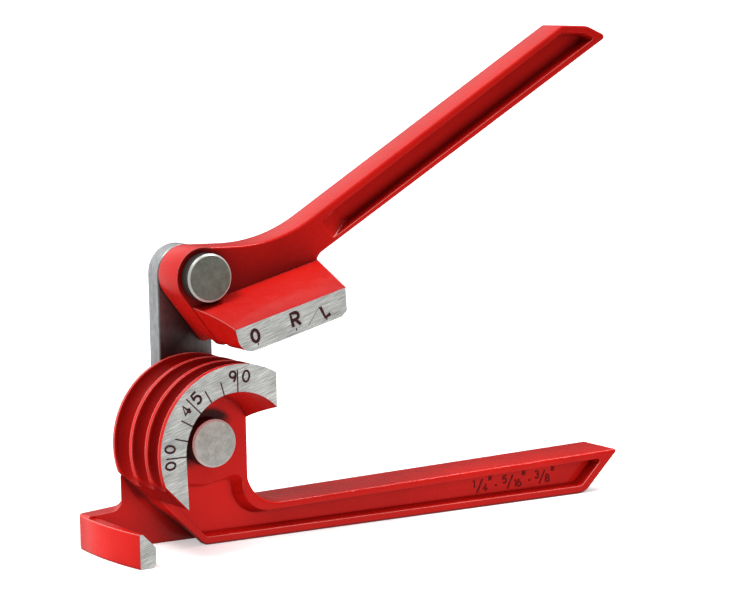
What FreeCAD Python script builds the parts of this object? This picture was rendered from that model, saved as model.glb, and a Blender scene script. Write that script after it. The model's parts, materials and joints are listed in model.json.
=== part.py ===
import FreeCAD, Part
import math
import os

# Hand bender for 1/4", 5/16" and 3/8" tube.  All lengths are in millimetres.
# The parts are drawn around the bending axis: X along the lower handle, Y from the
# dial face to the back, Z up.  The finished set is then shifted so that the origin is
# the middle of the underside of its bounding box.

V = FreeCAD.Vector

# ---- grooved former ----------------------------------------------------------------
TUBES = (6.35, 7.94, 9.53)           # tube sizes, front groove to back groove
GROOVE_PLAY = 0.22                   # groove is this much wider than its tube
LANDS = (1.9, 1.4, 1.4)              # land in front of each groove
BEND_R = 24.0                        # bend radius to the tube's centre line, and land radius
CASTING_BACK = 30.1                  # back face of the former, where the link runs
PAD_Y = 18.55                        # front face of the webs and of both handles
DIAL_R = 16.3                        # inner edge of the dial face
WELL_R = 13.4                        # the same wall at the depth of the web
RIM_END_X = 12.1                     # upright cut at the 90 degree end of the rim
HEEL_A = (-23.1, -7.3)               # slanted cut under the zero mark: start of the line
HEEL_B = (-1.8, -29.4)               # and its foot, at the handle's lower corner
HEEL_TIP_X = -15.9                   # where the rim ends on that line
HEEL_FLANGE = 1.5                    # the heel is full width only this deep behind its face
HEEL_RELIEF = 4.6                    # run of the relief behind it, at the plate
WELL_LEAN = 0.95                     # how far the rim's inner side leans, at its foot
GROOVE_DROP = 16.0                   # straight run of the grooves below the zero mark
MARK_STEP = 15                       # degrees between dial marks
MARK_ENDS = (20.2, 22.4)             # outer ends of the short and the long dial marks
MARK_W = 0.4
MARK_DEPTH = 0.25

# ---- lower handle, back plate and tube hook ----------------------------------------
BOTTOM_Z = -29.4
BACK_Y = 36.0
PLATE_Y = 29.4
HANDLE_TOP_Z = -19.95                # height of the handle's upper line at the rim end
HANDLE_TIP = (141.0, -17.0)
HANDLE_HEEL = (128.2, BOTTOM_Z)
THROAT_R = 10.3                      # inside curve between the former and the handle
PLATE_TOP_Z = -8.9                   # back plate stops here, just under the link's edge
PLATE_LEFT_X = (-22.3, -18.9)        # left edge of the plate: its front face and its back face
ARM_TOP_Z = (-19.3, -18.2)           # top of the hook's arm: at the hook and at the plate
RECESS = 4.0                         # depth of the panels in the handles
RECESS_DRAFT = 0.5
RIM_ROUND = 0.7
STEP_FACE = 26.3                     # hook and shoe faces stand this far from the bend axis
HOOK_TOP_Z = -19.8
HOOK_OUT = (-31.0, -32.9, -32.4)     # bowed outer side: front, middle, back

# ---- link, pins and their small parts ------------------------------------------------
PIVOT_SPAN = 46.38                   # distance between the two pins
LINK_R = 8.3                         # half width and end radius of the link plate
LINK_Y = (30.6, 37.0)
BORE_R = 5.0
PIN_R = 4.95
HEAD_R = 6.8
HEAD_Y = 14.5
HEAD_SEAT = 18.5
HEAD_CHAMFER = 0.55
PIN_END = 39.4
PIN_END_CHAMFER = 0.5
WASHER = (7.6, 5.1, 30.15)           # outer radius, hole radius, front face
RING = (6.9, 4.55, 37.1, 1.0)        # outer radius, inner radius, front face, thickness
RING_GAP = 70                        # opening of the retaining ring, degrees
RING_LUG = (5.9, 1.25, 0.55)         # lug circle, lug radius, plier hole radius

# ---- lever, drawn closed: shoe face level, pin axis at the origin -------------------
OPEN_ANGLE = 14.6                    # the lever stands this far open
SHOE_FACE_Z = -(PIVOT_SPAN - STEP_FACE)
SHOE_LEFT_X = -3.5                   # left end of the shoe at its bare front face
WEB_LEFT_X = -0.6                    # and behind it, at the foot of the lever's web
SHOE_END = ((32.5, -13.1), (31.3, -18.9), (29.3, SHOE_FACE_Z))  # its right end, downwards
SHOE_FRONT_Z = -12.6                 # top of the bare front face
SHOE_BACK_Z = -7.1                   # the sloping top meets the web here
LEVER_TIP = (149.6, 25.5)
LEVER_BROW = (143.4, 30.5)           # the end is bowed between the shoulder and the tip
LEVER_SHOULDER = (134.9, 33.15)


def groove_centres():
    """Depth of each groove's middle behind the dial face."""
    centres = []
    depth = 0.0
    for land, tube in zip(LANDS, TUBES):
        width = tube + GROOVE_PLAY
        centres.append(depth + land + width / 2)
        depth += land + width
    return centres


def corner(before, point, after, radius):
    """The two ends and the middle of the arc that rounds one corner."""
    px, pz = point
    a = V(before[0] - px, 0, before[1] - pz).normalize()
    b = V(after[0] - px, 0, after[1] - pz).normalize()
    half = a.getAngle(b) / 2
    run = radius / math.tan(half)
    p = V(px, 0, pz)
    bisector = (a + b).normalize()
    centre = p + bisector * (radius / math.sin(half))
    return p + a * run, centre - bisector * radius, p + b * run


def wire(points, y):
    """Closed outline in the plane at depth y; each point is (x, z) or (x, z, radius)."""
    n = len(points)
    stops = []
    for i, point in enumerate(points):
        xz = (point[0], point[1])
        radius = point[2] if len(point) > 2 else 0
        if radius:
            before = points[i - 1]
            after = points[(i + 1) % n]
            stops.append(corner(before[:2], xz, after[:2], radius))
        else:
            stops.append((V(xz[0], 0, xz[1]),))
    edges = []
    for i, stop in enumerate(stops):
        if len(stop) == 3:
            edges.append(Part.Arc(*stop).toShape())
        start = stop[-1]
        end = stops[(i + 1) % n][0]
        if start.distanceToPoint(end) > 1e-4:
            edges.append(Part.makeLine(start, end))
    outline = Part.Wire(edges)
    outline.translate(V(0, y, 0))
    return outline


def prism(points, y0, y1):
    """Plate with the given outline between two depths."""
    return Part.Face(wire(points, y0)).extrude(V(0, y1 - y0, 0))


def tapered(front, y0, back, y1):
    """Solid between one outline at y0 and another at y1."""
    return Part.makeLoft([wire(front, y0), wire(back, y1)], True, True)


def rod(radius, y0, y1, x=0.0, z=0.0):
    """Round bar along Y."""
    return Part.makeCylinder(radius, y1 - y0, V(x, y0, z), V(0, 1, 0))


def round_edges_at(shape, depths, radius, keep):
    """Round the outline edges that lie at the given depths and that keep() accepts."""
    chosen = []
    for edge in shape.Edges:
        box = edge.BoundBox
        flat = any(abs(box.YMin - y) < 1e-3 and abs(box.YMax - y) < 1e-3 for y in depths)
        if flat and keep(box):
            chosen.append(edge)
    return shape.makeFillet(radius, chosen)


def heel_z(x):
    """Height of the slanted heel line at x."""
    return HEEL_A[1] + (x - HEEL_A[0]) * (HEEL_B[1] - HEEL_A[1]) / (HEEL_B[0] - HEEL_A[0])


def handle_outline():
    """Lower handle with the web that joins it to the former."""
    inside_x = HEEL_TIP_X - 1.5
    return [
        (RIM_END_X, 8.0),
        (RIM_END_X, HANDLE_TOP_Z, THROAT_R),
        (HANDLE_TIP[0], HANDLE_TIP[1], 0.6),
        (HANDLE_HEEL[0], HANDLE_HEEL[1], 5.0),
        (HEEL_B[0], HEEL_B[1], 3.0),
        (inside_x, heel_z(inside_x)),
        (-13.0, -9.0),
        (-10.0, 0.0),
        (0.0, 8.0),
    ]


def arm_top_z(x):
    """Height of the hook arm's top at x."""
    return ARM_TOP_Z[0] + (x - HOOK_OUT[2]) * (ARM_TOP_Z[1] - ARM_TOP_Z[0]) / (
        PLATE_LEFT_X[1] - HOOK_OUT[2])


def back_plate_outline():
    """Everything behind the tube grooves: hook arm, plate and handle."""
    return [
        (PLATE_LEFT_X[1], PLATE_TOP_Z, 0.5),
        (RIM_END_X, PLATE_TOP_Z, 2.0),
        (RIM_END_X, HANDLE_TOP_Z, 7.0),
        (HANDLE_TIP[0], HANDLE_TIP[1], 0.6),
        (HANDLE_HEEL[0], HANDLE_HEEL[1], 5.0),
        (HOOK_OUT[2], BOTTOM_Z, 0.8),
        (HOOK_OUT[2], ARM_TOP_Z[0], 0.8),
        (PLATE_LEFT_X[1], ARM_TOP_Z[1], 3.0),
    ]


def plate_flare():
    """Slanted left side of the plate, from the former's edge in to the plate's back."""
    inside = (-10.0, -24.0)
    on_arm = -27.5
    outlines = []
    for left_x in PLATE_LEFT_X:
        outlines.append([
            (left_x, PLATE_TOP_Z), (inside[0], PLATE_TOP_Z), inside, (on_arm, inside[1]),
            (on_arm, arm_top_z(on_arm)), (left_x, arm_top_z(left_x), 3.0)])
    return tapered(outlines[0], PLATE_Y, outlines[1], BACK_Y - RIM_ROUND)


def heel_relief():
    """Room behind the heel's front flange, wider towards the foot and the plate."""
    top_x = -13.0
    low_z = BOTTOM_Z - 3.6
    foot_x = HEEL_A[0] + (low_z - HEEL_A[1]) * (HEEL_B[0] - HEEL_A[0]) / (
        HEEL_B[1] - HEEL_A[1])
    top = (top_x - 0.4, heel_z(top_x))
    below = (top[0], low_z)
    return tapered([top, below, (foot_x, low_z)], PAD_Y + HEEL_FLANGE,
                   [top, below, (foot_x + HEEL_RELIEF, low_z)], PLATE_Y)


def former():
    """Grooved former, dial, lower handle and hook, cast in one piece."""
    disc = rod(BEND_R, 0, CASTING_BACK)
    far_left = -34.0
    under_tip = heel_z(HEEL_TIP_X) - 1.0
    sector = prism([
        (far_left, heel_z(far_left)),
        (far_left, 30.0),
        (RIM_END_X, 30.0),
        (RIM_END_X, under_tip),
        (HEEL_TIP_X + 6.0, under_tip),
        (HEEL_TIP_X, heel_z(HEEL_TIP_X)),
    ], 0, CASTING_BACK)
    disc = disc.common(sector)

    # The well in front of the web: a cone above the axis, open below and to the right.
    well = Part.makeCone(DIAL_R, WELL_R, PAD_Y, V(0, 0, 0), V(0, 1, 0))
    clear_x = 40.0
    clear_z = -35.0
    open_side = [(clear_x, 0), (clear_x, clear_z)]
    below = tapered(
        [(-DIAL_R, 0)] + open_side + [(-DIAL_R + WELL_LEAN, clear_z)], 0,
        [(-WELL_R, 0)] + open_side + [(-WELL_R + WELL_LEAN, clear_z)], PAD_Y)
    disc = disc.cut(well.fuse(below))

    web = prism(handle_outline(), PAD_Y, CASTING_BACK)
    web = round_edges_at(web, (PAD_Y,), RIM_ROUND, lambda b: True)
    plate = prism(back_plate_outline(), PLATE_Y, BACK_Y)
    plate = round_edges_at(plate, (BACK_Y,), RIM_ROUND, lambda b: True)
    body = disc.fuse([web, plate, plate_flare()]).removeSplitter()
    body = body.cut(tube_grooves()).cut(heel_relief()).fuse(hook())

    body = body.cut(handle_panel())
    body = body.cut(back_panel())
    body = body.cut(rod(BORE_R, PAD_Y - 5, BACK_Y + 5))
    for angle in range(0, 91, MARK_STEP):
        outer = MARK_ENDS[1] if angle % 45 == 0 else MARK_ENDS[0]
        inner = DIAL_R - 1.0
        mark = Part.makeBox(outer - inner, MARK_DEPTH + 1, MARK_W,
                            V(-outer, -1, -MARK_W / 2))
        mark.rotate(V(0, 0, 0), V(0, 1, 0), angle)
        body = body.cut(mark)
    return body


def tube_grooves():
    """Half-round grooves: round the former above the axis, then straight down its left side."""
    grooves = []
    for centre, tube in zip(groove_centres(), TUBES):
        radius = (tube + GROOVE_PLAY) / 2
        section = Part.Face(Part.Wire(
            Part.makeCircle(radius, V(-BEND_R, centre, 0), V(0, 0, 1))))
        grooves.append(section.revolve(V(0, 0, 0), V(0, 1, 0), 180))
        grooves.append(Part.makeCylinder(radius, GROOVE_DROP, V(-BEND_R, centre, -GROOVE_DROP),
                                         V(0, 0, 1)))
    return grooves


def hook():
    """Upright hook that holds the tube against the former's straight side."""
    front = V(HOOK_OUT[0], 0, BOTTOM_Z)
    middle = V(HOOK_OUT[1], BACK_Y / 2, BOTTOM_Z)
    back = V(HOOK_OUT[2], BACK_Y - 1.0, BOTTOM_Z)
    inner_back = V(-STEP_FACE, BACK_Y - 1.0, BOTTOM_Z)
    inner_front = V(-STEP_FACE, 0, BOTTOM_Z)
    outline = Part.Wire([
        Part.Arc(front, middle, back).toShape(),
        Part.makeLine(back, inner_back),
        Part.makeLine(inner_back, inner_front),
        Part.makeLine(inner_front, front),
    ])
    bar = Part.Face(outline).extrude(V(0, 0, HOOK_TOP_Z - BOTTOM_Z))
    slant = prism([(-30.1, HOOK_TOP_Z), (-29.0, -18.0), (-24.0, -18.0), (-24.0, -24.3),
                   (-STEP_FACE, -23.7)], -1, PLATE_Y)
    toe = prism([(-27.3, BOTTOM_Z), (-STEP_FACE, BOTTOM_Z + 1.0), (-25.0, BOTTOM_Z + 1.0),
                 (-25.0, -31.0), (-27.3, -31.0)], -1, PLATE_Y)
    bar = bar.cut(slant).cut(toe)
    for centre, tube in zip(groove_centres(), TUBES):
        radius = (tube + GROOVE_PLAY) / 2
        track = Part.makeCylinder(radius, 20, V(-BEND_R, centre, -34), V(0, 0, 1))
        bar = bar.cut(track)
    return bar


def handle_panel():
    """Sunken panel in the front of the lower handle, running up to the pin's pad."""
    d = RECESS_DRAFT
    front = [
        (-11.2, -10.6, 1.5), (-0.6, -11.9, 6.0), (10.6, -9.6, 2.5), (10.4, -21.9, 8.5),
        (134.9, -19.3, 0.8), (127.0, -27.1, 2.5), (-1.3, -27.1, 1.5), (-11.4, -16.7, 1.5),
    ]
    back = [
        (-11.2 + d, -12.2, 1.3), (-0.6, -13.3, 6.0), (8.8, -11.8, 2.0),
        (9.2, -21.9 - 2 * d, 8.5), (134.9 - 2.4 * d, -19.3 - d, 0.6),
        (127.0 - 0.4 * d, -27.1 + 1.4 * d, 2.3), (-1.3 + 0.4 * d, -27.1 + 1.4 * d, 1.3),
        (-11.4 + d, -16.7 + 0.6 * d, 1.3),
    ]
    sunk = tapered(front, PAD_Y, back, PAD_Y + RECESS)
    mouth = prism(front, PAD_Y - 3, PAD_Y)
    return sunk.fuse(mouth)


def back_panel():
    """The matching panel in the back of the lower handle."""
    d = RECESS_DRAFT
    front = [(24.0 + d, -22.1 - d, 1.3), (134.2 - 2.4 * d, -19.6 - d, 0.8),
             (127.0 - 0.4 * d, -27.0 + d, 2.3), (24.0 + d, -27.0 + d, 1.3)]
    back = [(24.0, -22.1, 1.5), (134.2, -19.6, 1.0), (127.0, -27.0, 2.5), (24.0, -27.0, 1.5)]
    sunk = tapered(front, BACK_Y - RECESS, back, BACK_Y)
    mouth = prism(back, BACK_Y, BACK_Y + 3)
    return sunk.fuse(mouth)


def lever_outline():
    """Lever seen from the front, closed: boss at the origin, shoe below, handle right."""
    return [
        (2.38, 7.95),
        (24.6, 1.28, 45.0),
        (LEVER_SHOULDER[0], LEVER_SHOULDER[1], 1.5),
        (LEVER_BROW[0], LEVER_BROW[1], 6.0),
        (LEVER_TIP[0], LEVER_TIP[1], 1.0),
        (36.7, -5.8, 3.5),
        *SHOE_END,
        (WEB_LEFT_X, SHOE_FACE_Z, 1.0),
        (-7.64, -3.24),
    ]


def lever():
    """Upper lever: boss, grooved shoe and handle, turned to its standing angle."""
    web = prism(lever_outline(), PAD_Y, CASTING_BACK)
    web = round_edges_at(web, (PAD_Y, CASTING_BACK), RIM_ROUND, lambda b: b.XMin > 20)
    web = web.fuse(rod(LINK_R, PAD_Y, CASTING_BACK))

    shoe_top = SHOE_BACK_Z + 0.2
    right_end = [(36.0, shoe_top), *SHOE_END]
    shoe_plan = tapered(
        right_end + [(SHOE_LEFT_X, SHOE_FACE_Z, 4.5), (SHOE_LEFT_X, shoe_top)], 0,
        right_end + [(WEB_LEFT_X + 0.15, SHOE_FACE_Z, 1.0), (-6.0, shoe_top)], PAD_Y + 1)
    wedge_points = [V(-10, 0, SHOE_FACE_Z - 1), V(-10, 0, SHOE_FRONT_Z),
                    V(-10, PAD_Y, SHOE_BACK_Z), V(-10, PAD_Y + 1, SHOE_BACK_Z),
                    V(-10, PAD_Y + 1, SHOE_FACE_Z - 1)]
    wedge = Part.Face(Part.makePolygon(wedge_points + wedge_points[:1]))
    wedge = wedge.extrude(V(60, 0, 0))
    body = web.fuse(shoe_plan.common(wedge)).removeSplitter()

    # Shallow tracks in the shoe face; the tube is centred on the bend radius.
    for centre, tube in zip(groove_centres(), TUBES):
        radius = (tube + GROOVE_PLAY) / 2
        track = Part.makeCylinder(radius, 60, V(-10, centre, BEND_R - PIVOT_SPAN), V(1, 0, 0))
        body = body.cut(track)
    body = body.cut(lever_panel(PAD_Y, 1)).cut(lever_panel(CASTING_BACK, -1))
    body = body.cut(rod(BORE_R, PAD_Y - 5, CASTING_BACK + 5))
    body.rotate(V(0, 0, 0), V(0, 1, 0), -OPEN_ANGLE)
    body.translate(V(0, 0, PIVOT_SPAN))
    return body


def lever_panel(face, inward):
    """Sunken panel in one side of the lever's handle."""
    depth = RECESS if inward > 0 else RECESS / 2
    mouth = [(39.6, 3.4, 1.5), (134.2, 31.3, 1.2), (142.4, 28.5, 1.5), (144.9, 26.3, 0.7),
             (41.8, -3.0, 2.0)]
    floor = [(47.4, 5.1, 1.5), (134.0, 30.6, 1.0), (141.4, 28.0, 1.2), (143.1, 26.4, 0.5),
             (49.3, -0.7, 2.0)]
    if inward > 0:
        sunk = tapered(mouth, face, floor, face + depth)
        return sunk.fuse(prism(mouth, face - 3, face))
    sunk = tapered(floor, face - depth, mouth, face)
    return sunk.fuse(prism(mouth, face, face + 3))


def link():
    """Plate that joins the two pins behind the castings."""
    bar = Part.makeBox(2 * LINK_R, LINK_Y[1] - LINK_Y[0], PIVOT_SPAN,
                       V(-LINK_R, LINK_Y[0], 0))
    bar = bar.fuse([rod(LINK_R, LINK_Y[0], LINK_Y[1]),
                    rod(LINK_R, LINK_Y[0], LINK_Y[1], 0, PIVOT_SPAN)]).removeSplitter()
    bar = round_edges_at(bar, LINK_Y, 0.5, lambda b: True)
    for z in (0, PIVOT_SPAN):
        bar = bar.cut(rod(PIN_R, LINK_Y[0] - 1, LINK_Y[1] + 1, 0, z))
    return bar


def pin(z):
    """Headed pin; the groove near its end takes the retaining ring."""
    half = [
        (0, HEAD_Y), (HEAD_R - HEAD_CHAMFER, HEAD_Y), (HEAD_R, HEAD_Y + HEAD_CHAMFER),
        (HEAD_R, HEAD_SEAT), (PIN_R, HEAD_SEAT), (PIN_R, RING[2] - 0.05),
        (RING[1], RING[2] - 0.05), (RING[1], RING[2] + RING[3] + 0.05),
        (PIN_R, RING[2] + RING[3] + 0.05), (PIN_R, PIN_END - PIN_END_CHAMFER),
        (PIN_R - PIN_END_CHAMFER, PIN_END), (0, PIN_END),
    ]
    points = [V(r, y, 0) for r, y in half]
    face = Part.Face(Part.makePolygon(points + points[:1]))
    body = face.revolve(V(0, 0, 0), V(0, 1, 0), 360)
    body.translate(V(0, 0, z))
    return body


def washer(z):
    """Thin washer between a casting and the link."""
    body = rod(WASHER[0], WASHER[2], LINK_Y[0]).cut(rod(WASHER[1], WASHER[2], LINK_Y[0]))
    body.translate(V(0, 0, z))
    return body


def retaining_ring(z):
    """Open ring with two plier lugs, snapped into the pin's groove."""
    y0 = RING[2]
    y1 = y0 + RING[3]
    body = rod(RING[0], y0, y1).cut(rod(RING[1], y0, y1))
    half = math.radians(RING_GAP / 2)
    reach = 12.0
    mouth = prism([(0, 0), (reach * math.sin(half), -reach * math.cos(half)),
                   (-reach * math.sin(half), -reach * math.cos(half))], y0 - 1, y1 + 1)
    body = body.cut(mouth)
    for side in (-1, 1):
        x = side * RING_LUG[0] * math.sin(half)
        lug_z = -RING_LUG[0] * math.cos(half)
        lug = rod(RING_LUG[1], y0, y1, x, lug_z).cut(rod(RING[1], y0, y1))
        body = body.fuse(lug)
        body = body.cut(rod(RING_LUG[2], y0 - 1, y1 + 1, x, lug_z))
    body = body.removeSplitter()
    body.translate(V(0, 0, z))
    return body


parts = {
    "former_handle": former(),
    "lever_handle": lever(),
    "link_plate": link(),
    "former_pin": pin(0),
    "lever_pin": pin(PIVOT_SPAN),
    "former_washer": washer(0),
    "lever_washer": washer(PIVOT_SPAN),
    "former_ring": retaining_ring(0),
    "lever_ring": retaining_ring(PIVOT_SPAN),
}

whole = Part.makeCompound(list(parts.values())).optimalBoundingBox()
shift = V(-(whole.XMin + whole.XMax) / 2, -(whole.YMin + whole.YMax) / 2, -whole.ZMin)
os.makedirs("parts", exist_ok=True)
for name, shape in parts.items():
    shape.translate(shift)
    box = shape.optimalBoundingBox()
    print(name, len(shape.Solids), shape.isValid(), round(shape.Volume, 1),
          [round(v, 3) for v in (box.XMin, box.YMin, box.ZMin, box.XMax, box.YMax, box.ZMax)])
    shape.exportStep("parts/" + name + ".step")
print("shift", [round(v, 4) for v in shift])
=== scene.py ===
import json
import math
import bpy
from mathutils import Matrix, Vector


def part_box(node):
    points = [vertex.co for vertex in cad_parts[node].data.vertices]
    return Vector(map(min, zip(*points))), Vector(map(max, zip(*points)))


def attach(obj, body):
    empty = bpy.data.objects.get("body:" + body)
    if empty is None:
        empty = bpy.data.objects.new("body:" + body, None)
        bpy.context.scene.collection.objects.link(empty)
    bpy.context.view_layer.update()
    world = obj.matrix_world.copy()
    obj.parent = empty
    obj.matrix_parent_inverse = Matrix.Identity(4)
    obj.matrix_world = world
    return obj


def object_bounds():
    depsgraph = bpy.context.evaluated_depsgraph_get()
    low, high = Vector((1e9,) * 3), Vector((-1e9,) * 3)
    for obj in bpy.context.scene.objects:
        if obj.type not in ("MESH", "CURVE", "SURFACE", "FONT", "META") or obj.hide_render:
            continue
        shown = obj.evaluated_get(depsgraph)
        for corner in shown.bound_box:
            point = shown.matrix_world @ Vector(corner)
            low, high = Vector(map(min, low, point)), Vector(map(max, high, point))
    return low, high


# Hand tube bender: red cast handles with bare machined dial, shoe and hook faces, a plated
# link and two steel pins.  Lengths are millimetres, measured from the lower pin's axis and
# the dial face, except those of the floor, lights, pins, boxes and *_M, which are metres.

MM = 0.001
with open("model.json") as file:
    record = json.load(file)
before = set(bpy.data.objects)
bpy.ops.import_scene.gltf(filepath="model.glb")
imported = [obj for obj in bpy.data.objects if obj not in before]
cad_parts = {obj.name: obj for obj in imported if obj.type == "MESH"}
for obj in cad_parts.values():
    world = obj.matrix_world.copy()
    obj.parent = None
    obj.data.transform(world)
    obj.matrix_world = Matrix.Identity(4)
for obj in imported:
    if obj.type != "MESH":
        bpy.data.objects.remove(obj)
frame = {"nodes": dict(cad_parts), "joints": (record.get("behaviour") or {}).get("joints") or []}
CAD_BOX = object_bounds()

joints = {j["name"]: Vector(j["pos_m"]) for j in frame["joints"]}
LOWER_PIN = joints["link_swing"]
FACE_Y_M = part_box("former_handle")[0].y


def at(x, z, depth=0.0):
    """A point given from the lower pin's axis, and depth behind the machined faces."""
    return Vector((LOWER_PIN.x + x * MM, FACE_Y_M + depth * MM, LOWER_PIN.z + z * MM))


# ---- node trees ----------------------------------------------------------------------
class Tree:
    """Small helper that adds nodes to a material and links them by socket name."""

    def __init__(self, name):
        self.material = bpy.data.materials.new(name)
        self.material.use_nodes = True
        self.nodes = self.material.node_tree.nodes
        self.links = self.material.node_tree.links
        self.nodes.clear()

    def add(self, kind, settings=None, **inputs):
        node = self.nodes.new("ShaderNode" + kind)
        for key, value in (settings or {}).items():
            setattr(node, key, value)
        for key, value in inputs.items():
            self.put(node, key.replace("_", " "), value)
        return node

    def put(self, node, socket, value):
        target = node.inputs[int(socket) if socket.isdigit() else socket]
        if isinstance(value, bpy.types.NodeSocket):
            self.links.new(value, target)
        else:
            target.default_value = value

    def math(self, operation, a, b=0.0):
        node = self.nodes.new("ShaderNodeMath")
        node.operation = operation
        self.put(node, "0", a)
        self.put(node, "1", b)
        return node.outputs[0]

    def ramp(self, value, low, high, out_low=0.0, out_high=1.0):
        node = self.add("MapRange", Value=value)
        for key, number in (("From Min", low), ("From Max", high),
                            ("To Min", out_low), ("To Max", out_high)):
            node.inputs[key].default_value = number
        return node.outputs["Result"]

    def mix(self, factor, a, b):
        node = self.nodes.new("ShaderNodeMix")
        node.data_type = "RGBA"
        self.put(node, "0", factor)
        self.put(node, "6", a)
        self.put(node, "7", b)
        return node.outputs[2]

    def place(self, scale=(1, 1, 1), tilt=0.0):
        """Object coordinates in millimetres, turned about Y and stretched."""
        coords = self.add("TexCoord").outputs["Object"]
        turned = self.add("Mapping", Vector=coords)
        turned.inputs["Rotation"].default_value = (0, math.radians(tilt), 0)
        turned.inputs["Scale"].default_value = (1000, 1000, 1000)
        scaled = self.add("VectorMath", {"operation": "MULTIPLY"})
        self.links.new(turned.outputs[0], scaled.inputs[0])
        scaled.inputs[1].default_value = scale
        return scaled.outputs[0]

    def noise(self, vector, scale, detail=3.0, roughness=0.55):
        node = self.add("TexNoise", Vector=vector, Scale=scale, Detail=detail,
                        Roughness=roughness)
        return node.outputs["Fac"]

    def soft_edges(self, radius):
        node = self.add("Bevel", {"samples": 8})
        node.inputs["Radius"].default_value = radius * MM
        return node.outputs[0]

    def bump(self, height, distance, normal=None, strength=1.0):
        node = self.add("Bump", Height=height, Strength=strength)
        node.inputs["Distance"].default_value = distance * MM
        if normal is not None:
            self.links.new(normal, node.inputs["Normal"])
        return node.outputs[0]

    def axes(self, vector):
        return self.add("SeparateXYZ", Vector=vector).outputs

    def product(self, *values):
        result = values[0]
        for value in values[1:]:
            result = self.math("MULTIPLY", result, value)
        return result

    def openness(self, reach):
        """How little of the space within reach (mm) is taken up by other surfaces."""
        node = self.add("AmbientOcclusion", {"samples": 8, "inside": False})
        node.inputs["Distance"].default_value = reach * MM
        return node.outputs["AO"]

    def finish(self, shader):
        out = self.add("OutputMaterial")
        self.links.new(shader, out.inputs["Surface"])
        return self.material


def brushed_metal(tree, dark, light, tilt):
    """Colour, roughness and height of a ground face with fine lines turned by tilt."""
    lines = tree.noise(tree.place((0.16, 0.4, 5.0), tilt), 1.0, 5.0, 0.7)
    fine = tree.noise(tree.place((0.35, 0.4, 14.0), tilt + 7), 1.0, 3.0, 0.6)
    patch = tree.noise(tree.place((0.12, 0.12, 0.2), tilt), 1.0, 3.0)
    level = tree.math("ADD", tree.product(lines, 0.6), tree.product(fine, 0.4))
    level = tree.ramp(level, 0.38, 0.62)
    cloud = tree.ramp(patch, 0.3, 0.7, 0.82, 1.08)
    colour = tree.mix(level, dark, light)
    tinted = tree.add("VectorMath", {"operation": "SCALE"})
    tree.links.new(colour, tinted.inputs[0])
    tree.links.new(cloud, tinted.inputs["Scale"])
    return tinted.outputs[0], tree.ramp(level, 0.0, 1.0, 0.5, 0.34), level


def shaded(tree, colour, bands, dark):
    """Paint shade into a colour in corners; each band is reach in mm, two openness limits, a
    share.
    """
    for reach, start, end, share in bands:
        corner = tree.ramp(tree.openness(reach), start, end, share, 0.0)
        colour = tree.mix(corner, colour, dark)
    return colour


# colour of the painted shade on the enamel
SHADE_RED = (0.10, 0.0012, 0.001, 1)
# pink of the painted highlight on the outer edges
HIGHLIGHT_RED = (1.0, 0.30, 0.27, 1)
# near black of the painted shadow between the lower pin and the dial's rim
PIN_SHADOW_BLACK = (0.012, 0.004, 0.003, 1)
WHEEL_RADIUS = 24.0
WELL_RADIUS = 18.5       # the tube grooves stop short of this radius
PIN_SHADOW_RADIUS = 9.5      # reach of the painted shadow round the lower pin
HANDLE_MIDDLE = 25.0     # depth of the middle of the handles behind the dial face
CROWN = 0.012            # how far the sides of the handles are domed, per mm squared
WEB_DEPTH = 19.5         # deeper faces than this are floors of panels
PLANE_SLACK = 0.01       # how far behind the machined plane still counts as machined
NIBBLE = 0.04            # uneven edge of the enamel there


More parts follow.
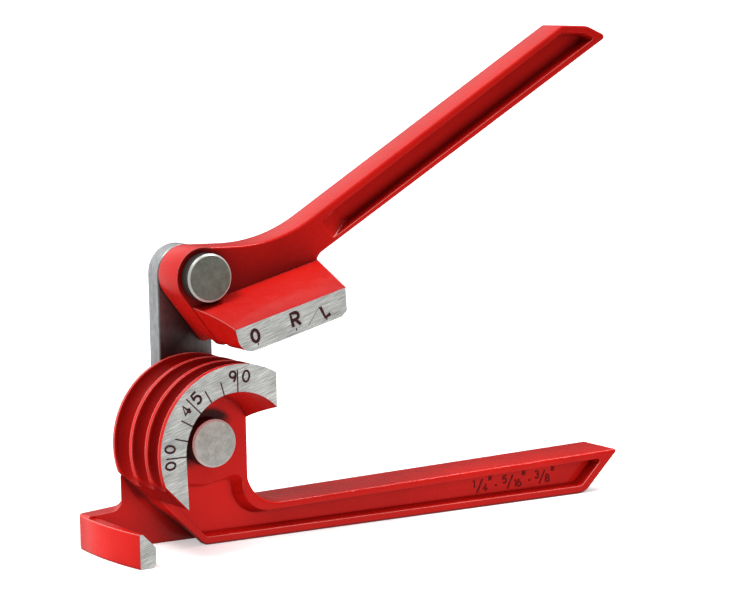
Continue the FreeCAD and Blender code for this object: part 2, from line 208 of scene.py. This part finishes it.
def casting_material(name, front_shade_share):
    """Glossy red enamel over a slightly uneven casting, ground bare on its front faces.

    The second argument is how strongly painted shade darkens the front faces beside anything that
    stands out.
    """
    tree = Tree(name)
    round_normal = tree.soft_edges(0.5)

    # enamel: painted shade darkens it in corners and creases, with orange peel and a few dull
    # specks
    flow = tree.noise(tree.place(), 0.055, 3.0)
    peel = tree.noise(tree.place(), 0.75, 2.0)
    grain = tree.noise(tree.place(), 3.2, 2.0)
    red = tree.mix(tree.ramp(flow, 0.3, 0.7), (0.60, 0.0085, 0.0055, 1), (0.70, 0.012, 0.008, 1))
    red = shaded(tree, red, ((1.2, 0.25, 0.85, 0.8), (16.0, 0.12, 0.58, 0.86)), SHADE_RED)

    # painted shade: the front faces are darkened beside anything that stands out in front of them
    normal = tree.axes(tree.add("TexCoord").outputs["Normal"])
    spot = tree.axes(tree.place())
    across = tree.math("SUBTRACT", spot["X"], LOWER_PIN.x / MM)
    above = tree.math("SUBTRACT", spot["Z"], LOWER_PIN.z / MM)
    depth = tree.math("SUBTRACT", spot["Y"], FACE_Y_M / MM)
    front_face = tree.product(tree.ramp(normal["Y"], -0.7, -0.95),
                              tree.ramp(depth, WEB_DEPTH - 0.5, WEB_DEPTH + 0.5, 1.0, 0.45))
    front_shade = tree.ramp(tree.openness(32.0), 0.7, 1.03, front_shade_share, 0.0)
    red = tree.mix(tree.product(front_shade, front_face), red, SHADE_RED)

    # painted shade: the enamel in the tube channels is darkened
    radius = tree.math("SQRT", tree.math("ADD", tree.product(across, across),
                                         tree.product(above, above)))
    behind = tree.ramp(depth, 1.2, 2.2)
    channel_shade = tree.product(tree.ramp(radius, WHEEL_RADIUS - 0.9, WHEEL_RADIUS - 0.25, 1.0, 0.0),
                        tree.ramp(radius, WELL_RADIUS - 0.1, WELL_RADIUS + 0.1),
                        behind,
                        tree.ramp(across, 9.0, 12.0, 1.0, 0.0),
                        tree.ramp(above, -17.0, -15.0))
    red = tree.mix(tree.product(channel_shade, 0.62), red, SHADE_RED)

    # painted shadow: a black crescent between the pin and the rim of the dial
    pin_shadow = tree.product(tree.ramp(tree.math("SUBTRACT", above, across), -3.0, 2.0),
                       tree.ramp(radius, PIN_SHADOW_RADIUS - 0.7, PIN_SHADOW_RADIUS + 0.7, 1.0, 0.0),
                       behind)
    red = tree.mix(tree.product(pin_shadow, 0.94), red, PIN_SHADOW_BLACK)

    # painted highlight: outer edges that look up or to the left are painted brighter
    turned = tree.add("VectorMath", {"operation": "DOT_PRODUCT"})
    tree.links.new(round_normal, turned.inputs[0])
    tree.links.new(tree.add("NewGeometry").outputs["Normal"], turned.inputs[1])
    aim = tree.axes(round_normal)
    upward = tree.math("SUBTRACT", aim["Z"], tree.product(aim["X"], 0.6))
    edge_highlight = tree.product(tree.ramp(turned.outputs["Value"], 0.99, 0.86),
                          tree.ramp(upward, 0.1, 0.6),
                          tree.ramp(tree.openness(1.5), 0.8, 0.97))
    red = tree.mix(tree.product(edge_highlight, 0.9), red, HIGHLIGHT_RED)

    # uneven, slightly domed surface
    height = tree.math("ADD", tree.product(peel, 0.75), tree.product(grain, 0.25))
    off_middle = tree.math("SUBTRACT", depth, HANDLE_MIDDLE)
    crown = tree.product(off_middle, off_middle, -CROWN)
    enamel_normal = tree.bump(height, 0.03, round_normal, 0.5)
    enamel_normal = tree.bump(crown, 1.0, enamel_normal)
    dull_and_shaded = tree.ramp(tree.noise(tree.place(), 0.3, 4.0), 0.45, 0.75, 0.24, 0.36)
    enamel = tree.add("BsdfPrincipled", Base_Color=red, Roughness=dull_and_shaded)
    enamel.inputs["Specular IOR Level"].default_value = 0.12
    enamel.inputs["Coat Weight"].default_value = 0.24
    enamel.inputs["Coat Roughness"].default_value = 0.08
    tree.links.new(enamel_normal, enamel.inputs["Normal"])

    # bare metal, ground flat
    colour, rough, level = brushed_metal(tree, (0.25, 0.25, 0.235, 1),
                                         (0.95, 0.95, 0.92, 1), 18)
    bare = tree.add("BsdfPrincipled", Base_Color=colour, Roughness=rough, Metallic=0.3)
    tree.links.new(tree.bump(level, 0.02, None, 0.5), bare.inputs["Normal"])

    # the ground faces are the ones in the plane of the dial that look forwards
    where = tree.axes(tree.add("TexCoord").outputs["Object"])
    nibble = tree.noise(tree.place(), 1.4, 2.0)
    in_plane = tree.math("LESS_THAN", where["Y"],
                         tree.math("ADD", tree.product(nibble, NIBBLE * MM),
                                   FACE_Y_M + PLANE_SLACK * MM))
    mask = tree.product(in_plane, tree.math("LESS_THAN", normal["Y"], -0.9))
    both = tree.nodes.new("ShaderNodeMixShader")
    tree.put(both, "0", mask)
    tree.links.new(enamel.outputs[0], both.inputs[1])
    tree.links.new(bare.outputs[0], both.inputs[2])
    return tree.finish(both.outputs[0])


def plated_material():
    """Dull zinc plating with a faint crystalline mottle, painted shade near the castings and
    painted light in its lower right corner.
    """
    tree = Tree("plated_steel")
    mottle = tree.noise(tree.place(), 0.5, 5.0, 0.65)
    streak = tree.noise(tree.place((0.6, 0.6, 0.08)), 1.0, 3.0)
    level = tree.math("ADD", tree.product(mottle, 0.6), tree.product(streak, 0.4))
    colour = tree.mix(tree.ramp(level, 0.35, 0.65), (0.38, 0.39, 0.40, 1), (0.60, 0.61, 0.62, 1))
    # painted shade: the plate is darkened near the castings
    dull_and_shaded = shaded(tree, colour, ((22.0, 0.45, 1.0, 0.95),), (0.03, 0.028, 0.026, 1))

    # painted light: the lower right corner, beside the top of the former, is kept bright
    spot = tree.axes(tree.place())
    low_right = tree.math("SUBTRACT", spot["X"], spot["Z"])
    corner = tree.math("SUBTRACT", low_right, (LOWER_PIN.x - LOWER_PIN.z) / MM - WHEEL_RADIUS)
    colour = tree.mix(tree.ramp(corner, -5.0, 6.0, 0.0, 0.8), dull_and_shaded, colour)
    rough = tree.ramp(level, 0.3, 0.7, 0.5, 0.36)
    steel = tree.add("BsdfPrincipled", Base_Color=colour, Roughness=rough, Metallic=0.85)
    normal = tree.bump(mottle, 0.03, tree.soft_edges(0.35), 0.4)
    tree.links.new(normal, steel.inputs["Normal"])
    return tree.finish(steel.outputs[0])


def pin_material(name, dark, light, rough_low, rough_high):
    """Turned steel with stains and small dents, a painted highlight on the chamfers and painted
    shade on the round sides.
    """
    tree = Tree(name)
    stain = tree.noise(tree.place(), 0.38, 6.0, 0.7)
    speck = tree.noise(tree.place(), 2.6, 3.0, 0.6)
    level = tree.math("ADD", tree.product(stain, 0.7), tree.product(speck, 0.3))
    colour = tree.mix(tree.ramp(level, 0.36, 0.62), dark, light)

    # painted highlight: the chamfers are painted bright; painted shade: the round sides are
    # painted near black
    slant = tree.math("ABSOLUTE", tree.axes(tree.add("TexCoord").outputs["Normal"])["Y"])
    chamfer_highlight = tree.product(tree.ramp(slant, 0.3, 0.5), tree.ramp(slant, 0.9, 0.98, 1.0, 0.0))
    colour = tree.mix(tree.product(chamfer_highlight, 0.7), colour, (0.82, 0.82, 0.79, 1))
    side_shade = tree.ramp(slant, 0.05, 0.25, 0.9, 0.0)
    colour = tree.mix(side_shade, colour, (0.022, 0.022, 0.02, 1))
    rough = tree.ramp(stain, 0.35, 0.65, rough_high, rough_low)
    steel = tree.add("BsdfPrincipled", Base_Color=colour, Roughness=rough, Metallic=0.35)
    normal = tree.bump(level, 0.05, tree.soft_edges(0.12), 0.5)
    tree.links.new(normal, steel.inputs["Normal"])
    return tree.finish(steel.outputs[0])


def mark_material():
    """Dark red-brown paint worked into the marks."""
    tree = Tree("mark_paint")
    wear = tree.noise(tree.place(), 1.8, 3.0)
    colour = tree.mix(tree.ramp(wear, 0.4, 0.7), (0.018, 0.002, 0.004, 1),
                      (0.075, 0.006, 0.011, 1))
    paint = tree.add("BsdfPrincipled", Base_Color=colour, Roughness=0.55)
    tree.links.new(tree.bump(wear, 0.02, None, 0.4), paint.inputs["Normal"])
    return tree.finish(paint.outputs[0])


def size_mark_shade_material():
    """Painted shade: dark red colour on the raised size marks, for the shade along their strokes.
    """
    tree = Tree("size_mark_shade")
    wear = tree.noise(tree.place(), 2.4, 3.0)
    colour = tree.mix(tree.ramp(wear, 0.35, 0.65), (0.07, 0.0022, 0.002, 1),
                      (0.24, 0.006, 0.005, 1))
    paint = tree.add("BsdfPrincipled", Base_Color=colour, Roughness=0.4)
    tree.links.new(tree.bump(wear, 0.03, None, 0.5), paint.inputs["Normal"])
    return tree.finish(paint.outputs[0])


def give(node, material):
    """Put a material in a CAD node's slot without touching its mesh."""
    slot = frame["nodes"][node].material_slots[0]
    slot.link = "OBJECT"
    slot.material = material


marks = mark_material()
# the raised size marks are coloured dark with painted shade
size_mark_shade = size_mark_shade_material()
# the number is the share of painted shade on the front faces beside anything standing out
give("former_handle", casting_material("former_paint", 0.2))
give("lever_handle", casting_material("lever_paint", 0.85))
give("link_plate", plated_material())
give("lever_pin", pin_material("pin_steel_dark", (0.13, 0.138, 0.108, 1),
                               (0.235, 0.245, 0.205, 1), 0.3, 0.45))
give("former_pin", pin_material("pin_steel_light", (0.36, 0.37, 0.335, 1),
                                (0.61, 0.63, 0.58, 1), 0.32, 0.5))
washer_steel = pin_material("washer_steel", (0.35, 0.35, 0.34, 1),
                            (0.6, 0.6, 0.58, 1), 0.3, 0.42)
spring_steel = pin_material("spring_steel", (0.05, 0.052, 0.055, 1),
                            (0.12, 0.12, 0.125, 1), 0.3, 0.45)
for end in ("former", "lever"):
    give(end + "_washer", washer_steel)
    give(end + "_ring", spring_steel)


# ---- marks ---------------------------------------------------------------------------
def arc(cx, cy, rx, ry, start, stop, steps=16):
    """Points on an ellipse, with angles in degrees from +X."""
    points = []
    for i in range(steps + 1):
        a = math.radians(start + (stop - start) * i / steps)
        points.append((cx + rx * math.cos(a), cy + ry * math.sin(a)))
    return points


# Each character is drawn in a box about 0.7 wide and 1 high, centred on the origin.
GLYPHS = {
    "0": [arc(0, 0, 0.33, 0.5, 90, 450, 28)],
    "4": [[(0.12, -0.5), (0.12, 0.5), (-0.36, -0.18), (0.36, -0.18)]],
    "5": [[(0.30, 0.5), (-0.22, 0.5), (-0.27, 0.08)] + arc(0, -0.17, 0.33, 0.33, 140, -140)],
    "9": [arc(0, 0.2, 0.31, 0.3, 0, 360, 20),
          [(0.31, 0.2), (0.30, 0.0), (0.20, -0.28), (0.02, -0.5)]],
    "R": [[(-0.3, -0.5), (-0.3, 0.5)] + arc(0.04, 0.24, 0.28, 0.26, 90, -90, 10) + [(-0.3, -0.02)],
          [(0.0, -0.02), (0.34, -0.5)]],
    "L": [[(-0.25, 0.5), (-0.25, -0.5), (0.3, -0.5)]],
    "1": [[(-0.12, 0.3), (0.06, 0.5), (0.06, -0.5)]],
    "3": [arc(-0.02, 0.25, 0.28, 0.25, 150, -80) + arc(-0.02, -0.23, 0.32, 0.27, 80, -150)],
    "6": [arc(0, -0.2, 0.31, 0.3, 0, 360, 20),
          [(-0.31, -0.2), (-0.29, 0.1), (-0.15, 0.36), (0.1, 0.5)]],
    "8": [arc(0, 0.25, 0.26, 0.25, 0, 360, 20), arc(0, -0.24, 0.32, 0.26, 0, 360, 20)],
    "/": [[(0.3, 0.55), (-0.3, -0.6)]],
    "inch": [[(-0.1, 0.6), (-0.16, 0.05)], [(0.18, 0.6), (0.12, 0.05)]],
    "dot": [[(-0.5, 0), (0.5, 0)]],
    "line": [[(0, -0.5), (0, 0.5)]],
}


def drawn_mark(name, glyph, centre, up_angle, height, width, body,
               flatness=0.08, material=marks):
    """A mark of painted strokes on a flat face; up_angle is measured from +Z."""
    curve = bpy.data.curves.new(name, "CURVE")
    curve.dimensions = "3D"
    curve.bevel_depth = width / 2
    curve.bevel_resolution = 3
    curve.use_fill_caps = True
    for stroke in GLYPHS[glyph]:
        spline = curve.splines.new("POLY")
        closed = stroke[0] == stroke[-1] or math.dist(stroke[0], stroke[-1]) < 1e-6
        points = stroke[:-1] if closed else stroke
        spline.points.add(len(points) - 1)
        for point, (u, v) in zip(spline.points, points):
            point.co = (u * height, 0, v * height, 1)
        spline.use_cyclic_u = closed
    holder = bpy.data.objects.new(name + "_curve", curve)
    bpy.context.scene.collection.objects.link(holder)
    bpy.context.view_layer.update()
    mesh = bpy.data.meshes.new_from_object(holder.evaluated_get(
        bpy.context.evaluated_depsgraph_get()))
    bpy.data.objects.remove(holder)
    turn = Matrix.Rotation(math.radians(up_angle), 4, "Y")
    flat = Matrix.Diagonal((MM, MM * flatness, MM, 1))
    mesh.transform(Matrix.Translation(at(*centre)) @ flat @ turn)
    return put(name, mesh, body, material)


def put(name, mesh, body, material):
    """Add a piece that moves with a body."""
    mesh.name = name
    mesh.materials.clear()
    mesh.materials.append(material)
    for polygon in mesh.polygons:
        polygon.use_smooth = True
    piece = bpy.data.objects.new(name, mesh)
    bpy.context.scene.collection.objects.link(piece)
    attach(piece, body)
    return piece


def box_mesh(name, low, high, turn=0.0):
    """A box between two corners given in (x, depth, z), turned about the lower pin."""
    corners = [(x, y, z) for x in (low[0], high[0]) for y in (low[1], high[1])
               for z in (low[2], high[2])]
    spin = Matrix.Rotation(math.radians(turn), 4, "Y")
    turned = [spin @ Vector(c) for c in corners]
    mesh = bpy.data.meshes.new(name)
    mesh.from_pydata([at(p.x, p.z, p.y) for p in turned], [],
                     [(0, 1, 3, 2), (4, 6, 7, 5), (0, 4, 5, 1), (2, 3, 7, 6), (0, 2, 6, 4),
                      (1, 5, 7, 3)])
    return mesh


# the engraved dial lines, filled with dark paint: every 15 degrees, longer every 45
MARK_INNER = 16.3
MARK_OUTER = {True: 22.35, False: 20.15}
MARK_HALF_WIDTH = 0.35
MARK_DEPTHS = (0.03, 0.2)
for angle in range(0, 91, 15):
    outer = MARK_OUTER[angle % 45 == 0]
    mesh = box_mesh("dial_line_%02d" % angle, (-outer, MARK_DEPTHS[0], -MARK_HALF_WIDTH),
                    (-MARK_INNER, MARK_DEPTHS[1], MARK_HALF_WIDTH), angle)
    line = put(mesh.name, mesh, "former", marks)
    for polygon in line.data.polygons:
        polygon.use_smooth = False

# (name, character, angle round the dial, radius, height, stroke)
DIAL_DIGITS = [("dial_0_first", "0", -5.4, 21.2, 2.9, 0.66),
               ("dial_0_second", "0", 7.0, 21.3, 2.9, 0.66),
               ("dial_45_4", "4", 38.5, 20.4, 3.0, 0.9),
               ("dial_45_5", "5", 51.0, 20.3, 3.2, 0.78),
               ("dial_90_9", "9", 86.0, 20.7, 2.9, 0.7),
               ("dial_90_0", "0", 97.4, 20.6, 3.0, 0.66)]
for name, glyph, angle, radius, height, stroke in DIAL_DIGITS:
    a = math.radians(angle)
    centre = (-radius * math.cos(a), radius * math.sin(a))
    drawn_mark(name, glyph, centre, angle - 90, height, stroke, "former")

# (name, character, centre, turn, height)
SHOE_STROKE = 0.98
SHOE_MARKS = [("shoe_0", "0", (5.85, 31.3), -14, 3.35),
              ("shoe_R", "R", (18.5, 34.8), -15, 3.8),
              ("shoe_L", "L", (28.0, 36.5), -28, 3.4)]
for name, glyph, centre, turn, height in SHOE_MARKS:
    drawn_mark(name, glyph, centre, turn, height, SHOE_STROKE, "lever")

# punched dots under the shoe letters, and the scribed line beside the L
for name, centre in (("shoe_dot_0", (6.7, 28.9)), ("shoe_dot_R", (18.8, 32.0)),
                     ("shoe_dot_L", (28.5, 34.2))):
    drawn_mark(name, "dot", centre, 0, 0.35, 0.75, "lever")
drawn_mark("shoe_scribe", "line", (24.45, 35.3), 36.5, 6.0, 0.16, "lever")

# raised tube sizes on the floor of the lower handle's recess: (character, X, Z, height)
RECESS_FLOOR_Y = 22.55
SIZE_STROKE = 0.55
SIZE_FLATNESS = 0.7
SIZE_MARKS = [("1", 90.6, -23.0, 2.1), ("/", 92.6, -23.7, 3.4), ("4", 94.5, -24.5, 2.1),
              ("inch", 96.3, -22.6, 2.4), ("dot", 98.4, -24.2, 0.6),
              ("5", 101.5, -22.8, 2.1), ("/", 103.5, -23.6, 3.4), ("1", 105.3, -24.3, 2.1),
              ("6", 106.7, -24.3, 2.1), ("inch", 108.4, -22.4, 2.4), ("dot", 110.5, -24.0, 0.6),
              ("3", 113.2, -22.6, 2.1), ("/", 115.1, -23.4, 3.4), ("8", 117.0, -24.1, 2.1),
              ("inch", 118.9, -22.2, 2.4)]
for i, (glyph, x, z, height) in enumerate(SIZE_MARKS):
    drawn_mark("size_mark_%02d" % i, glyph, (x, z, RECESS_FLOOR_Y), 0, height,
               SIZE_STROKE, "former", SIZE_FLATNESS, size_mark_shade)


# ---- floor, lights and camera --------------------------------------------------------
FLOOR_HALF = 40.0        # metres, so that its edge is never seen
FLOOR_GLOW = 0.45        # keeps the floor as pale as the background


def stage_floor():
    """Plain pale floor that lights nothing and isn't reflected."""
    tree = Tree("floor_paint")
    tone = tree.noise(tree.place(), 0.002, 2.0)
    colour = tree.mix(tone, (0.86, 0.86, 0.86, 1), (0.9, 0.9, 0.9, 1))
    paint = tree.add("BsdfPrincipled", Base_Color=colour, Roughness=0.9)
    paint.inputs["Specular IOR Level"].default_value = 0.1
    paint.inputs["Emission Color"].default_value = (1, 1, 1, 1)
    paint.inputs["Emission Strength"].default_value = FLOOR_GLOW
    size = FLOOR_HALF
    mesh = bpy.data.meshes.new("floor")
    mesh.from_pydata([(-size, -size, 0), (size, -size, 0), (size, size, 0), (-size, size, 0)],
                     [], [(0, 1, 2, 3)])
    floor = bpy.data.objects.new("floor", mesh)
    mesh.materials.append(tree.finish(paint.outputs[0]))
    bpy.context.scene.collection.objects.link(floor)
    floor.visible_glossy = False
    floor.visible_diffuse = False


def area_light(name, place, aim, size, power):
    """Rectangular card of light, not seen in reflections."""
    data = bpy.data.lights.new(name, "AREA")
    data.shape = "RECTANGLE"
    data.size, data.size_y = size
    data.energy = power
    light = bpy.data.objects.new(name, data)
    light.location = place
    light.visible_glossy = False
    light.rotation_euler = (aim - place).to_track_quat("-Z", "Y").to_euler()
    bpy.context.scene.collection.objects.link(light)


ROOM_LIGHT = 0.10
# (direction, cosine where the patch starts, cosine where it is full, strength)
CEILING = ((0, 0, 1), 0.2, 0.9, 0.25)
WALL_BEHIND_LEFT = ((-0.5, 0.75, 0.43), 0.42, 0.85, 0.7)
TABLE_IN_FRONT = ((0.25, -0.45, -0.857), 0.60, 0.66, 0.5)


def studio_world():
    """A dim room with a soft ceiling, a pale wall behind and a bright table in front."""
    world = bpy.data.worlds.new("studio")
    bpy.context.scene.world = world
    world.use_nodes = True
    nodes, links = world.node_tree.nodes, world.node_tree.links
    nodes.clear()
    coords = nodes.new("ShaderNodeTexCoord").outputs["Generated"]
    total = None
    for toward, start, end, strength in (CEILING, WALL_BEHIND_LEFT, TABLE_IN_FRONT):
        facing = nodes.new("ShaderNodeVectorMath")
        facing.operation = "DOT_PRODUCT"
        links.new(coords, facing.inputs[0])
        facing.inputs[1].default_value = Vector(toward).normalized()
        patch = nodes.new("ShaderNodeMapRange")
        patch.interpolation_type = "SMOOTHSTEP"
        for key, number in (("From Min", start), ("From Max", end), ("To Min", 0.0),
                            ("To Max", strength)):
            patch.inputs[key].default_value = number
        links.new(facing.outputs["Value"], patch.inputs["Value"])
        both = nodes.new("ShaderNodeMath")
        if total is None:
            both.inputs[0].default_value = ROOM_LIGHT
        else:
            links.new(total, both.inputs[0])
        links.new(patch.outputs[0], both.inputs[1])
        total = both.outputs[0]
    shade = nodes.new("ShaderNodeBackground")
    links.new(total, shade.inputs["Strength"])
    shade.inputs["Color"].default_value = (1, 1, 1, 1)
    out = nodes.new("ShaderNodeOutputWorld")
    links.new(shade.outputs[0], out.inputs["Surface"])


SUN_SPREAD = 20          # degrees


def sun_light(name, direction, strength):
    """Soft overhead light; direction points at the light."""
    data = bpy.data.lights.new(name, "SUN")
    data.angle = math.radians(SUN_SPREAD)
    data.energy = strength
    light = bpy.data.objects.new(name, data)
    light.rotation_euler = (-Vector(direction)).to_track_quat("-Z", "Y").to_euler()
    bpy.context.scene.collection.objects.link(light)


stage_floor()
studio_world()
CENTRE = (CAD_BOX[0] + CAD_BOX[1]) / 2
CARD_HEIGHT = 0.02
HOOK = Vector((CAD_BOX[0].x, CAD_BOX[1].y, CAD_BOX[0].z + CARD_HEIGHT))
sun_light("key_left", (-0.45, -0.05, 0.89), 1.9)
sun_light("key_right", (0.45, -0.08, 0.89), 1.6)
area_light("card_left", HOOK + Vector((-0.12, -0.01, 0.0)), HOOK, (0.06, 0.05), 0.15)
area_light("card_front", Vector((CENTRE.x + 0.02, CAD_BOX[0].y - 0.16, CARD_HEIGHT)),
           Vector((CENTRE.x + 0.01, CAD_BOX[0].y, CARD_HEIGHT)), (0.3, 0.03), 0.3)

# camera: where it looks, in degrees, and its place from the lower pin on the dial's plane
VIEW_HEADING = 30.663    # to the right of straight at the dial face
VIEW_PITCH = -6.892      # looking down
VIEW_LEAN = -1.177       # its right side dips
VIEWPOINT = at(-352.73, 131.90, -669.17)
camera = bpy.data.cameras.new("camera")
camera.sensor_width = 36.0
camera.lens = 134.25
camera.clip_start = 0.05
camera.clip_end = 100.0
viewer = bpy.data.objects.new("camera", camera)
turn = (Matrix.Rotation(math.radians(-VIEW_HEADING), 4, "Z")
        @ Matrix.Rotation(math.radians(90 + VIEW_PITCH), 4, "X")
        @ Matrix.Rotation(math.radians(VIEW_LEAN), 4, "Z"))
viewer.matrix_world = Matrix.Translation(VIEWPOINT) @ turn
bpy.context.scene.collection.objects.link(viewer)
bpy.context.scene.camera = viewer
bpy.context.scene.view_settings.view_transform = "Standard"
